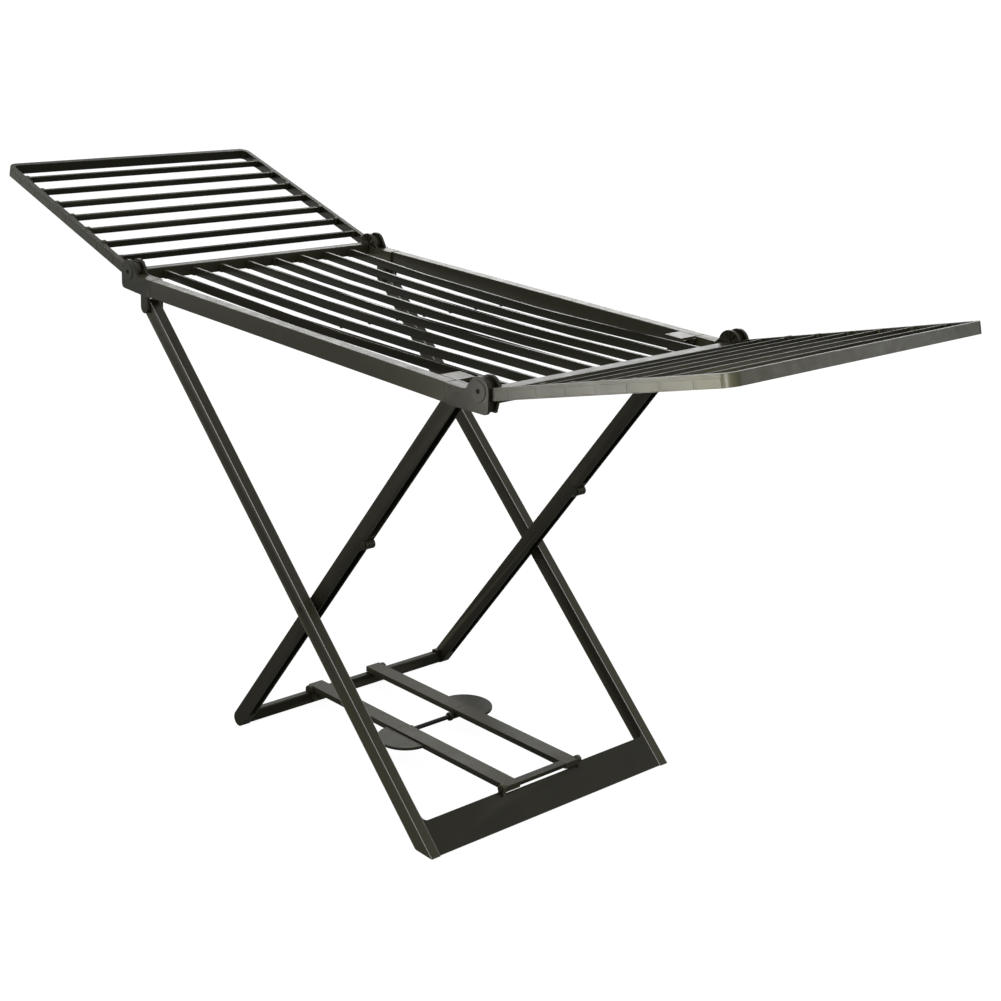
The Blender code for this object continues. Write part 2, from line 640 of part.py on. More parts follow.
def brace_upper(side, label):
    name = "brace_upper_" + label
    span = side_span(side, BRACE_LEG_INNER, BRACE_LEG_OUTER)
    slope = math.degrees(BRACE_SLOPE)
    outline = arc(BRACE_PIVOT, LEG_HALF_DEPTH, slope + 90, slope + 270, 12)
    end = KNEE - BRACE_DIR * GAP
    outline += [end - BRACE_LOW * LEG_HALF_DEPTH, end + BRACE_LOW * LEG_HALF_DEPTH]
    leg = slab(name, outline, *span, FRAME_PLASTIC)
    inner = side_span(side, BRACE_LEG_INNER + LEG_WALL, BRACE_LEG_OUTER - LEG_WALL)
    channel = leg_channel(name + "_channel", BRACE_PIVOT + BRACE_DIR * 0.022,
                          KNEE - BRACE_DIR * 0.020, -LEG_HALF_DEPTH + LEG_WALL,
                          LEG_HALF_DEPTH + 0.01, inner)
    reliefs = [leaf_relief(name + "_relief_in", side, BRACE_LEG_INNER - 0.01,
                           LEAF_SPLIT[0] + PLAY / 2),
               leaf_relief(name + "_relief_out", side, LEAF_SPLIT[1] - PLAY / 2,
                           BRACE_LEG_OUTER + 0.01)]
    cut(leg, [channel, *reliefs])
    join(leg, [knee_leaf(name + "_leaf", side, LEAF_SPLIT[0] + PLAY / 2,
                         LEAF_SPLIT[1] - PLAY / 2)])
    hole = rod_y(name + "_top_hole", BRACE_PIVOT, 0.0038,
                 *side_span(side, BRACE_LEG_INNER - 0.01, BRACE_LEG_OUTER + 0.01))
    pin_hole = rod_y(name + "_knee_hole", KNEE_PIN, 0.0028,
                     *side_span(side, BRACE_LEG_INNER - 0.01, BRACE_LEG_OUTER + 0.01))
    return cut(leg, [hole, pin_hole])


def brace_lower_outline():
    start = KNEE + BRACE_DIR * GAP
    slope = math.degrees(BRACE_SLOPE)
    points = [start + BRACE_LOW * LEG_HALF_DEPTH, start - BRACE_LOW * LEG_HALF_DEPTH]
    points += arc(BRACE_FOOT, LEG_HALF_DEPTH, slope - 90, -90, 8)
    points += arc(BRACE_FOOT, LEG_HALF_DEPTH, -90, slope + 90, 8)[1:]
    return points


def brace_lower_frame():
    name = "brace_lower_frame"
    outline = brace_lower_outline()
    frame = slab(name, outline, *side_span(-1, BRACE_LEG_INNER, BRACE_LEG_OUTER),
                 FRAME_PLASTIC)
    parts = [slab(name + "_back", outline, *side_span(1, BRACE_LEG_INNER, BRACE_LEG_OUTER))]
    reach = BRACE_LEG_OUTER - 0.004
    half = FOOT_BAR_WIDTH / 2
    rise, corner = FOOT_BAR_HEIGHT / 2, 0.0030
    section = []
    for x, z, start in ((1, 1, 0), (-1, 1, 90), (-1, -1, 180), (1, -1, 270)):
        centre = (FOOT_BAR.x + x * (half - corner), FOOT_BAR.y + z * (rise - corner))
        section += arc(centre, corner, start, start + 90, 4)
    parts.append(slab(name + "_bar", section, -reach, reach))
    # Upright keepers on the bar, just outside the stretcher's rear rails.
    keeper_half, keeper_width = 0.0090, 0.0055
    keeper = [Vector((FOOT_BAR.x - keeper_half, FOOT_BAR.y - 0.007)),
              Vector((FOOT_BAR.x + keeper_half, FOOT_BAR.y - 0.007))]
    keeper += arc((FOOT_BAR.x, FOOT_BAR.y + 0.013), keeper_half, 0, 180, 8)
    # Webs in the corners between the bar and the legs.
    web_reach, web_half = 0.012, 0.005
    for side, label in SIDES:
        parts.append(slab("%s_keeper_%s" % (name, label), keeper,
                          *side_span(side, STRUT_OUTER + PLAY, STRUT_OUTER + PLAY + keeper_width)))
        corner = BRACE_LEG_INNER
        web = [Vector((-web_half, corner + 0.002)), Vector((web_half, corner + 0.002)),
               Vector((web_half, corner - web_reach / 2)), Vector((-web_half, corner - web_reach))]
        web = [Vector((FOOT_BAR.x + p.x, side * p.y)) for p in web]
        parts.append(plate("%s_web_%s" % (name, label), web, FOOT_BAR.y,
                           FOOT_BAR.y + FOOT_BAR_HEIGHT / 2 + 0.004))
    join(frame, parts)
    holes = []
    for side, label in SIDES:
        inner = side_span(side, BRACE_LEG_INNER + LEG_WALL, BRACE_LEG_OUTER - LEG_WALL)
        holes.append(leg_channel("lower_channel_" + label, KNEE + BRACE_DIR * 0.020,
                                 FOOT_BAR - BRACE_DIR * 0.030, -LEG_HALF_DEPTH + LEG_WALL,
                                 LEG_HALF_DEPTH + 0.01, inner))
        holes.append(leaf_relief("lower_relief_" + label, side, LEAF_SPLIT[0] - PLAY / 2,
                                 LEAF_SPLIT[1] + PLAY / 2))
    cut(frame, holes)
    leaves = []
    for side, label in SIDES:
        spans = ((BRACE_LEG_INNER + 0.0001, LEAF_SPLIT[0] - PLAY / 2 - 0.0001),
                 (LEAF_SPLIT[1] + PLAY / 2 + 0.0001, BRACE_LEG_OUTER - 0.0001))
        for i, span in enumerate(spans):
            leaves.append(knee_leaf("lower_leaf_%s_%d" % (label, i), side, *span))
    join(frame, leaves)
    pin_holes = [rod_y("lower_knee_hole_" + label, KNEE_PIN, 0.0028,
                       *side_span(side, BRACE_LEG_INNER - 0.01, BRACE_LEG_OUTER + 0.01))
                 for side, label in SIDES]
    return cut(frame, pin_holes)


def leg_pins(side, label):
    """The pins that the legs turn on, one of each for this side."""
    rod_y("deck_pivot_pin_" + label, MAIN_PIVOT, 0.0040,
          *side_span(side, BRACKET_INNER - 0.0006, RAIL_OUTER - 0.0006), PIN_PLASTIC)
    rod_y("brace_top_pin_" + label, BRACE_PIVOT, 0.0035,
          *side_span(side, BRACE_LEG_INNER - 0.0062, BRACE_LEG_OUTER + 0.0064), PIN_PLASTIC,
          segments=16)
    rod_y("knee_pin_" + label, KNEE_PIN, 0.0025,
          *side_span(side, BRACE_LEG_INNER - 0.0006, BRACE_LEG_OUTER + 0.0006), PIN_PLASTIC,
          segments=16)
    pin = rod_y("cross_pin_" + label, CROSS, 0.0050,
                *side_span(side, BRACE_LEG_OUTER + PLAY, MAIN_LEG_OUTER + 0.0004), PIN_PLASTIC)
    collar = rod_y("cross_collar_" + label, CROSS, 0.0095,
                   *side_span(side, BRACE_LEG_OUTER + 2 * PLAY, MAIN_LEG_INNER - GAP))
    join(pin, [collar])
    reach = STRUT_OUTER + PLAY + STRUT_LUG_WIDTH
    rod_y("strut_lug_pin_" + label, STRUT_LUG, 0.0031,
          *side_span(side, STRUT_RAIL_Y + 0.001, reach + 0.0005), PIN_PLASTIC, segments=16)


# ---------------------------------------------------------------- stretcher
STRUT_SPLIT = STRUT_RAIL_Y


def strut_line(along_front, along_rear):
    """Underside points a given way before and after the middle axle."""
    middle = STRUT_AXLE + UNDER_UP * STRUT_PIN_DROP
    return middle - UNDER_DIR * along_front, middle + UNDER_DIR * along_rear


def strut_rail(name, side, start, end, knuckle_inner):
    """A channel rail between two underside points, with a knuckle on the middle axle."""
    top, wall, skin = STRUT_RAIL_HEIGHT, 0.0025, 0.0001
    low, high = side_span(side, STRUT_INNER, STRUT_OUTER)
    outline = [start, end, end + UNDER_UP * top, start + UNDER_UP * top]
    rail = slab(name, outline, low, high, FRAME_PLASTIC)
    inset = (end - start).normalized() * 0.018
    slot = [start + inset - UNDER_UP * 0.005, end - inset - UNDER_UP * 0.005,
            end - inset + UNDER_UP * (top - wall), start + inset + UNDER_UP * (top - wall)]
    mine = (STRUT_INNER + skin, STRUT_SPLIT - PLAY / 2 - skin)
    other = (STRUT_SPLIT - PLAY / 2, STRUT_OUTER + 0.01)
    if not knuckle_inner:
        mine = (STRUT_SPLIT + PLAY / 2 + skin, STRUT_OUTER - skin)
        other = (STRUT_INNER - 0.01, STRUT_SPLIT + PLAY / 2)
    cut(rail, [slab(name + "_slot", slot, low + wall, high - wall, collection=cutters),
               rod_y(name + "_relief", STRUT_AXLE, STRUT_KNUCKLE_RADIUS + 0.0006,
                     *side_span(side, *other), collection=cutters, segments=20)])
    join(rail, [rod_y(name + "_knuckle", STRUT_AXLE, STRUT_KNUCKLE_RADIUS,
                      *side_span(side, *mine), segments=20)])
    return rail


def stretcher_front():
    """Two rails and the flat bar across their front ends."""
    start = UNDER_FRONT - UNDER_DIR * STRUT_END
    end = strut_line(GAP, 0)[0]
    rails = [strut_rail("stretcher_front" + ending, side, start, end, True)
             for side, ending in ((-1, ""), (1, "_back"))]
    skin, bar_width, bar_height = 0.0002, 0.0145, 0.0070
    low = start + UNDER_DIR * skin + UNDER_UP * (STRUT_RAIL_HEIGHT - bar_height)
    far = low + UNDER_DIR * bar_width
    rise = UNDER_UP * (bar_height - skin)
    bar = slab("stretcher_front_bar", [low, far, far + rise, low + rise],
               -STRUT_INNER - 0.002, STRUT_INNER + 0.002)
    join(rails[0], [rails[1], bar])
    reach = STRUT_OUTER + 0.02
    holes = [rod_y("front_axle_hole", STRUT_AXLE, 0.0043, -reach, reach, collection=cutters)]
    holes += [rod_y("front_pin_hole_" + label, STRUT_LUG, 0.0034,
                    *side_span(side, STRUT_RAIL_Y, reach), collection=cutters)
              for side, label in SIDES]
    return cut(rails[0], holes)


def stretcher_rear(side, label):
    """A rear rail rests on the foot bar, with a lip hanging in front of the bar."""
    name = "stretcher_rear_" + label
    start = strut_line(0, GAP)[1]
    end = UNDER_REAR + UNDER_DIR * STRUT_OVERHANG
    rail = strut_rail(name, side, start, end, False)
    near, thick, drop, skin = 0.0165, 0.003, 0.009, 0.0002
    lip_at = UNDER_REAR - UNDER_DIR * near
    lip = [lip_at + UNDER_UP * 0.002, lip_at - UNDER_UP * drop,
           lip_at - UNDER_DIR * thick - UNDER_UP * drop,
           lip_at - UNDER_DIR * thick + UNDER_UP * 0.002]
    join(rail, [slab(name + "_lip", lip, *side_span(side, STRUT_INNER + skin,
                                                    STRUT_OUTER - skin))])
    return cut(rail, [rod_y(name + "_axle_hole", STRUT_AXLE, 0.0043,
                            *side_span(side, STRUT_INNER - 0.02, STRUT_OUTER + 0.02),
                            collection=cutters)])


def pedal(side, label):
    """Half-round foot plate beside the stretcher's middle joint."""
    centre = STRUT_AXLE + UNDER_UP * (STRUT_PIN_DROP + 0.0045) + UNDER_DIR * PEDAL_SHIFT[side]
    outline = [Vector((p.x, side * p.y)) for p in arc((0, 0), PEDAL_RADIUS, 0, 180, 24)]
    half_round = plate("pedal_" + label, outline, -PEDAL_THICKNESS / 2, PEDAL_THICKNESS / 2,
                       FRAME_PLASTIC)
    half_round.data.transform(Matrix.Rotation(-math.atan2(-UNDER_DIR.y, -UNDER_DIR.x), 4, "Y"))
    half_round.data.transform(Matrix.Translation((centre.x, side * (STRUT_OUTER + PLAY),
                                                  centre.y)))
    return half_round


def middle_axle():
    axle = rod_y("stretcher_axle", STRUT_AXLE, 0.0040, -STRUT_OUTER, STRUT_OUTER, PIN_PLASTIC)
    collar_width = 0.0060
    collar = rod_y("axle_collar", STRUT_AXLE, 0.0062, STRUT_INNER - PLAY - collar_width,
                   STRUT_INNER - PLAY)
    return join(axle, [collar])


# ---------------------------------------------------------------- assembly
for end, end_label in ((-1, "left"), (1, "right")):
    end_bar(end, end_label)
    wing(end, end_label)
    for side, side_label in SIDES:
        corner_bracket(end, side, end_label, side_label)
        hinge_pin(end, side, end_label, side_label)
for number in range(SLAT_COUNT):
    slat(number)
main_leg_frame()
brace_lower_frame()
stretcher_front()
middle_axle()
for side, side_label in SIDES:
    stretcher_rear(side, side_label)
    side_rail(side, side_label)
    brace_socket(side, side_label)
    brace_upper(side, side_label)
    leg_pins(side, side_label)
    pedal(side, side_label)


# ---------------------------------------------------------------- joint axes
def on_axis(name, place, members):
    """An empty on a joint axis carries the pieces that turn about it."""
    empty = bpy.data.objects.new(name, None)
    empty.empty_display_size = 0.03
    empty.location = (place[0], 0.0, place[1])
    airer.objects.link(empty)
    bpy.context.view_layer.update()
    for obj in list(airer.objects):
        if obj.type == "MESH" and obj.name.startswith(members):
            obj.parent = empty
            obj.matrix_parent_inverse = empty.matrix_world.inverted()


on_axis("deck_axis", MAIN_PIVOT,
        ("deck_", "corner_bracket", "brace_socket", "hinge_pin", "brace_top_pin"))
on_axis("wing_left_axis", (-HINGE_X, HINGE_Z), ("wing_left",))
on_axis("wing_right_axis", (HINGE_X, HINGE_Z), ("wing_right",))
on_axis("brace_upper_axis", BRACE_PIVOT, ("brace_upper",))
on_axis("knee_axis", KNEE_PIN, ("brace_lower", "knee_pin"))
on_axis("stretcher_front_axis", STRUT_LUG, ("stretcher_front", "pedal_front"))
on_axis("stretcher_rear_axis", STRUT_AXLE, ("stretcher_rear", "stretcher_axle", "pedal_back"))
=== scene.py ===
"""Looks of the folding clothes airer: rounded mouldings, ribs and satin plastic round the CAD frame."""

import json
import math

import bmesh
import bpy
from mathutils import Matrix, Vector


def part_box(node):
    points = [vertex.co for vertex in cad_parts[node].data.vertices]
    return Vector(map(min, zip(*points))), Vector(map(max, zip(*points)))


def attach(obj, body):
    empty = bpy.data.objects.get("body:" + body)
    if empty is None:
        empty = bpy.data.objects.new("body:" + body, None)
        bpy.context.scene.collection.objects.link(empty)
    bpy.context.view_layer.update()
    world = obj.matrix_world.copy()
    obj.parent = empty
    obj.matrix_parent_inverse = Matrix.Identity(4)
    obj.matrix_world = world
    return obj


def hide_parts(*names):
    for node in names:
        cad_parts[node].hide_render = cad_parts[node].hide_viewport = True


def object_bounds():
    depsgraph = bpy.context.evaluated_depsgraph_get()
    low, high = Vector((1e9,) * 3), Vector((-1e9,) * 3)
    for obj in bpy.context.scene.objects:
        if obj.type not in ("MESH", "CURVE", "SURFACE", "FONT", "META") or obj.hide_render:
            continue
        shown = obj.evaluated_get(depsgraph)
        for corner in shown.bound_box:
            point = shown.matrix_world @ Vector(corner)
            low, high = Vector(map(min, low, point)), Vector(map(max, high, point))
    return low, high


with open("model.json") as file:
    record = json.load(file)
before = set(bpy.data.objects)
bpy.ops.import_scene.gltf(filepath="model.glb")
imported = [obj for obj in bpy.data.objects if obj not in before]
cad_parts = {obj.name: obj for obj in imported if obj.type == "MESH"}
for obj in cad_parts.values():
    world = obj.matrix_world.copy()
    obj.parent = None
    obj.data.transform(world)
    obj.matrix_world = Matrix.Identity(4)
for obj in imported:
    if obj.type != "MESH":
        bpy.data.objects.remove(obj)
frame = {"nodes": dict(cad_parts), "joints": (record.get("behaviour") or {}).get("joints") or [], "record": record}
cad_low, cad_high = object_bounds()

NODES = frame["nodes"]
BODY_OF = {node: body for body, nodes in frame["record"]["behaviour"]["bodies"].items()
           for node in nodes}
JOINTS = {joint["name"]: joint for joint in frame["joints"]}


# ---------------------------------------------------------------- materials
def new_material(name):
    material = bpy.data.materials.new(name)
    material.use_nodes = True
    tree = material.node_tree
    return material, tree, tree.nodes["Principled BSDF"]


def noise(tree, coords, scale, detail=4.0, roughness=0.55):
    node = tree.nodes.new("ShaderNodeTexNoise")
    node.inputs["Scale"].default_value = scale
    node.inputs["Detail"].default_value = detail
    node.inputs["Roughness"].default_value = roughness
    tree.links.new(coords, node.inputs["Vector"])
    return node.outputs["Fac"]


def ramp(tree, value, stops):
    """Colour ramp from (position, colour) stops; a number is a grey."""
    node = tree.nodes.new("ShaderNodeValToRGB")
    elements = node.color_ramp.elements
    while len(elements) < len(stops):
        elements.new(0.5)
    for element, (position, colour) in zip(elements, stops):
        element.position = position
        if not isinstance(colour, tuple):
            colour = (colour, colour, colour)
        element.color = (*colour, 1.0)
    tree.links.new(value, node.inputs["Fac"])
    return node.outputs["Color"]


def mix(tree, factor, a, b):
    node = tree.nodes.new("ShaderNodeMix")
    node.data_type = "RGBA"
    for socket, value in ((node.inputs[0], factor), (node.inputs[6], a), (node.inputs[7], b)):
        if isinstance(value, (int, float)):
            socket.default_value = value
        elif isinstance(value, tuple):
            socket.default_value = (*value, 1.0)
        else:
            tree.links.new(value, socket)
    return node.outputs[2]


def satin_plastic(name, base, pale, roughness, grain=1.0):
    """Moulded polypropylene: soft mottling, a fine spark-eroded grain and paler edges painted on as edge
    highlights.
    """
    material, tree, shader = new_material(name)
    coords = tree.nodes.new("ShaderNodeTexCoord").outputs["Object"]
    mottle = noise(tree, coords, 9.0, 3.0)
    flow = noise(tree, coords, 38.0, 5.0, 0.6)
    fine = noise(tree, coords, 1900.0 * grain, 2.0, 0.5)
    tone = mix(tree, ramp(tree, mottle, [(0.35, 0.0), (0.70, 1.0)]), base, pale)

    # Sharp edges (high pointiness) are mixed towards a much paler tone: a painted edge highlight.
    bevel = tree.nodes.new("ShaderNodeNewGeometry").outputs["Pointiness"]
    edge = ramp(tree, bevel, [(0.53, 0.0), (0.62, 0.60)])
    edge_highlight_paint = tuple(min(1.0, channel * 5.0 + 0.015) for channel in pale)
    colour = mix(tree, edge, tone, edge_highlight_paint)
    tree.links.new(colour, shader.inputs["Base Color"])

    low, high = roughness
    gloss = ramp(tree, flow, [(0.30, low), (0.72, high)])
    tree.links.new(gloss, shader.inputs["Roughness"])

    sink = tree.nodes.new("ShaderNodeBump")
    sink.inputs["Strength"].default_value = 0.22
    sink.inputs["Distance"].default_value = 0.0006
    tree.links.new(flow, sink.inputs["Height"])
    skin = tree.nodes.new("ShaderNodeBump")
    skin.inputs["Strength"].default_value = 0.10
    skin.inputs["Distance"].default_value = 0.00008
    tree.links.new(fine, skin.inputs["Height"])
    tree.links.new(sink.outputs["Normal"], skin.inputs["Normal"])
    tree.links.new(skin.outputs["Normal"], shader.inputs["Normal"])
    shader.inputs["IOR"].default_value = 1.49
    shader.inputs["Specular IOR Level"].default_value = 0.42
    shader.inputs["Specular Tint"].default_value = (1.0, 0.99, 0.91, 1.0)
    return material


FRAME_PLASTIC = satin_plastic("charcoal_polypropylene", (0.0155, 0.0143, 0.0072),
                              (0.0215, 0.0200, 0.0108), (0.30, 0.40))
# A pale plastic for the main legs' long rounded edges: painted edge highlights.
EDGE_HIGHLIGHT_PLASTIC = satin_plastic("painted_edge_highlight", (0.26, 0.255, 0.24), (0.34, 0.335, 0.32),
                             (0.24, 0.34))
# Near-black matte with almost no specular: painted shadow for the hinge bores.
BORE_SHADE = satin_plastic("bore_shade", (0.002, 0.002, 0.002), (0.003, 0.003, 0.003),
                           (0.80, 0.90))
BORE_SHADE.node_tree.nodes["Principled BSDF"].inputs["Specular IOR Level"].default_value = 0.05
PIN_PLASTIC = satin_plastic("black_acetal", (0.007, 0.007, 0.006), (0.010, 0.010, 0.009),
                            (0.24, 0.34), 1.6)


# ---------------------------------------------------------------- pieces from the CAD frame
def clean_copy(node):
    """The CAD node's mesh with its flat faces whole again, ready for rounding."""
    bm = bmesh.new()
    bm.from_mesh(NODES[node].data)
    bmesh.ops.remove_doubles(bm, verts=bm.verts, dist=0.00002)
    bmesh.ops.dissolve_limit(bm, angle_limit=math.radians(1.0), verts=bm.verts, edges=bm.edges)
    mesh = bpy.data.meshes.new(node + "_skin")
    bm.to_mesh(mesh)
    bm.free()
    return mesh


def show(obj, body, material):
    """Finish a piece: material and body."""
    obj.data.materials.clear()
    obj.data.materials.append(material)
    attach(obj, body)
    return obj


def carved(mesh, low, high):
    """The mesh with a box-shaped pocket taken out of it."""
    bm = bmesh.new()
    bmesh.ops.create_cube(bm, size=1.0)
    bmesh.ops.scale(bm, vec=high - low, verts=bm.verts)
    bmesh.ops.translate(bm, vec=(high + low) / 2, verts=bm.verts)
    tool_mesh = bpy.data.meshes.new("pocket")
    bm.to_mesh(tool_mesh)
    bm.free()
    tool = bpy.data.objects.new("pocket", tool_mesh)
    blank = bpy.data.objects.new("blank", mesh)
    for obj in (tool, blank):
        bpy.context.scene.collection.objects.link(obj)
    modifier = blank.modifiers.new("pocket", "BOOLEAN")
    modifier.object = tool
    modifier.solver = "EXACT"
    bpy.context.view_layer.update()
    done = bpy.data.meshes.new_from_object(blank.evaluated_get(bpy.context.evaluated_depsgraph_get()))
    for obj in (tool, blank):
        bpy.data.objects.remove(obj, do_unlink=True)
    return done


def bracket_skin(node):
    """A left bracket's mesh without the ledge between its inner cheek and the deck."""
    low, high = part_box(node)
    side = -1 if high.y < 0 else 1
    rail_low, rail_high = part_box("deck_rail_" + ("front" if side < 0 else "back"))
    inner, cheek = 0.2425, 0.2497
    y_from, y_to = sorted((side * inner, side * cheek))
    pocket_low = Vector((low.x - 0.001, y_from, rail_low.z + 0.010))
    return carved(clean_copy(node), pocket_low, Vector((rail_low.x + 0.001, y_to, high.z + 0.001)))


def flat_faces(obj):
    """Keeps the broad faces flat to the light, so that only the rounded edges turn."""
    modifier = obj.modifiers.new("flat_faces", "WEIGHTED_NORMAL")
    modifier.keep_sharp = True
    modifier.weight = 100


def round_long_edges(obj, rounding):
    """Rounds only the long outer edges, freely, and gives them a pale plastic as a painted edge highlight."""
    long, square = 0.25, math.radians(60)
    bm = bmesh.new()
    bm.from_mesh(obj.data)
    weight = bm.edges.layers.float.new("bevel_weight_edge")
    for edge in bm.edges:
        if edge.calc_length() > long and edge.is_convex and edge.calc_face_angle(0.0) > square:
            edge[weight] = 1.0
    bm.to_mesh(obj.data)
    bm.free()
    obj.data.materials.append(EDGE_HIGHLIGHT_PLASTIC)
    rounding.material = 1
    rounding.limit_method = "WEIGHT"
    rounding.use_clamp_overlap = False


def rounded(node, width, segments=2, material=None, mesh=None, paint_edge_highlights=False):
    """The node's own shape with its edges rounded, shown in the node's place."""
    obj = bpy.data.objects.new(node + "_moulding", mesh or clean_copy(node))
    bpy.context.scene.collection.objects.link(obj)
    modifier = obj.modifiers.new("rounding", "BEVEL")
    modifier.width = width
    modifier.segments = segments
    modifier.limit_method = "ANGLE"
    modifier.angle_limit = math.radians(35)
    modifier.harden_normals = False
    modifier.use_clamp_overlap = True
    obj.data.shade_smooth()
    obj.data.set_sharp_from_angle(angle=math.radians(50))
    flat_faces(obj)
    show(obj, BODY_OF[node], material or FRAME_PLASTIC)
    # The long rounded edges get the pale plastic as a painted edge highlight.
    if paint_edge_highlights:
        round_long_edges(obj, modifier)
    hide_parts(node)
    return obj


for name in sorted(NODES):
    is_pin = "_pin_" in name or name == "stretcher_axle"
    if is_pin:
        rounded(name, 0.0004, 2, PIN_PLASTIC)
    elif name == "main_leg_frame":
        rounded(name, 0.0012, 2, paint_edge_highlights=True)
    elif name.startswith("deck_rail"):
        continue
    elif name.startswith("corner_bracket_left"):
        rounded(name, 0.0012, 3, mesh=bracket_skin(name))
    elif name.startswith("corner_bracket"):
        rounded(name, 0.0012, 3)
    else:
        rounded(name, 0.0009, 2)


# ---------------------------------------------------------------- mouldings the CAD frame leaves out
SIDES = ((-1, "front"), (1, "back"))
ENDS = ((-1, "left"), (1, "right"))
HINGE = {end: Vector(JOINTS["wing_%s_fold" % label]["pos_m"]) for end, label in ENDS}
MAIN_PIVOT = Vector(JOINTS["deck_fold"]["pos_m"])
BRACE_PIVOT = Vector(JOINTS["brace_top"]["pos_m"])
KNEE = Vector(JOINTS["knee"]["pos_m"])
LUG = Vector(JOINTS["stretcher_lug"]["pos_m"])
AXLE = Vector(JOINTS["stretcher_middle"]["pos_m"])


def moulded(name, body, bm, round_by=0.0005, material=None):
    """A small piece of the same plastic that rides on a body."""
    bmesh.ops.recalc_face_normals(bm, faces=bm.faces)
    mesh = bpy.data.meshes.new(name)
    bm.to_mesh(mesh)
    bm.free()
    obj = bpy.data.objects.new(name, mesh)
    bpy.context.scene.collection.objects.link(obj)
    if round_by:
        modifier = obj.modifiers.new("rounding", "BEVEL")
        modifier.width = round_by
        modifier.segments = 2
        modifier.limit_method = "ANGLE"
        modifier.angle_limit = math.radians(40)
    mesh.shade_smooth()
    mesh.set_sharp_from_angle(angle=math.radians(50))
    flat_faces(obj)
    return show(obj, body, material or FRAME_PLASTIC)


def block(name, body, low, high, round_by=0.0005, turn=None):
    """A box between two corners, turned or moved by a matrix if one is given."""
    low, high = Vector(low), Vector(high)
    bm = bmesh.new()
    bmesh.ops.create_cube(bm, size=1.0)
    bmesh.ops.scale(bm, vec=high - low, verts=bm.verts)
    bmesh.ops.translate(bm, vec=(high + low) / 2, verts=bm.verts)
    if turn:
        bmesh.ops.transform(bm, matrix=turn, verts=bm.verts)
    return moulded(name, body, bm, round_by)


def ring(name, body, place, hole, radius, y_from, y_to, round_by=0.0004, sweep=(0, 360),
         material=None):
    """A round washer or part of one, lying square to Y; hole 0 makes a plain disc."""
    bm = bmesh.new()
    full = sweep[1] - sweep[0] >= 360
    steps = max(6, round(abs(sweep[1] - sweep[0]) / 9))
    rims = []
    for i in range(steps if full else steps + 1):
        angle = math.radians(sweep[0] + (sweep[1] - sweep[0]) * i / steps)
        across = Vector((math.cos(angle), 0.0, math.sin(angle)))
        rim = []
        for reach, y in ((radius, y_from), (radius, y_to), (hole, y_to), (hole, y_from)):
            rim.append(bm.verts.new(Vector((place[0], y, place[2])) + across * reach))
        rims.append(rim)
    pairs = list(zip(rims, rims[1:] + rims[:1])) if full else list(zip(rims, rims[1:]))
    for a, b in pairs:
        for i in range(4):
            j = (i + 1) % 4
            bm.faces.new((a[i], a[j], b[j], b[i]))
    if not full:
        bm.faces.new(rims[0])
        bm.faces.new(rims[-1])
    if hole == 0:
        bmesh.ops.remove_doubles(bm, verts=bm.verts, dist=0.00001)
    return moulded(name, body, bm, round_by, material)


def profile(name, body, outline, y_from, y_to, round_by=0.0005, turn=None):
    """A flat outline of X and Z places, thickened along Y and then turned by a matrix."""
    bm = bmesh.new()
    near = [bm.verts.new((x, y_from, z)) for x, z in outline]
    far = [bm.verts.new((x, y_to, z)) for x, z in outline]
    bm.faces.new(near)
    bm.faces.new(far)
    for i in range(len(outline)):
        j = (i + 1) % len(outline)
        bm.faces.new((near[i], near[j], far[j], far[i]))
    if turn:
        bmesh.ops.transform(bm, matrix=turn, verts=bm.verts)
    return moulded(name, body, bm, round_by)


def side_rail(side, label):
    """A deck rail as an open channel with crisp edges, and thin ribs across inside it."""
    low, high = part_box("deck_rail_" + label)
    wall, corner = 0.0030, 0.0013
    outline = [(low.y, low.z), (low.y, high.z), (high.y, high.z), (high.y, low.z),
               (high.y - wall, low.z), (high.y - wall, high.z - wall),
               (low.y + wall, high.z - wall), (low.y + wall, low.z)]
    turn = Matrix.Rotation(math.radians(-90), 4, "Z")
    flipped = [(-y, z) for y, z in outline]
    channel = profile("rail_channel_" + label, "deck", flipped, low.x, high.x, corner,
                      turn @ Matrix.Rotation(math.radians(180), 4, "Z"))
    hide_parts("deck_rail_" + label)
    rib_half, ribs, rib_drop = 0.0009, 11, 0.004
    for i in range(ribs + 1):
        x = low.x + 0.003 + (high.x - low.x - 0.006) * i / ribs
        block("rail_rib_%s_%d" % (label, i), "deck",
              (x - rib_half, low.y + wall - 0.0002, low.z + rib_drop),
              (x + rib_half, high.y - wall + 0.0002, high.z - wall + 0.0002), 0.0)


def fan(name, body, hinge, face, outward):
    """Radial ribs on the inboard side of a cheek, round a hub on the hinge pin."""
    hub, rim, depth, thick, count = 0.0062, 0.0196, 0.0034, 0.0011, 7
    ring(name + "_hub", body, hinge, 0.0, hub, face - outward * 0.0002, face + outward * depth, 0.0006)
    for i in range(count):
        angle = math.radians(-8 + 196 * i / (count - 1))
        y_from, y_to = sorted((face - outward * 0.0002, face + outward * (depth - 0.0006)))
        turn = Matrix.Translation(hinge) @ Matrix.Rotation(-angle, 4, "Y") @ Matrix.Translation(
            (0.0, -hinge.y, 0.0))
        block("%s_rib_%d" % (name, i), body, (hub - 0.001, y_from, -thick / 2),
              (rim, y_to, thick / 2), 0.0004, turn)


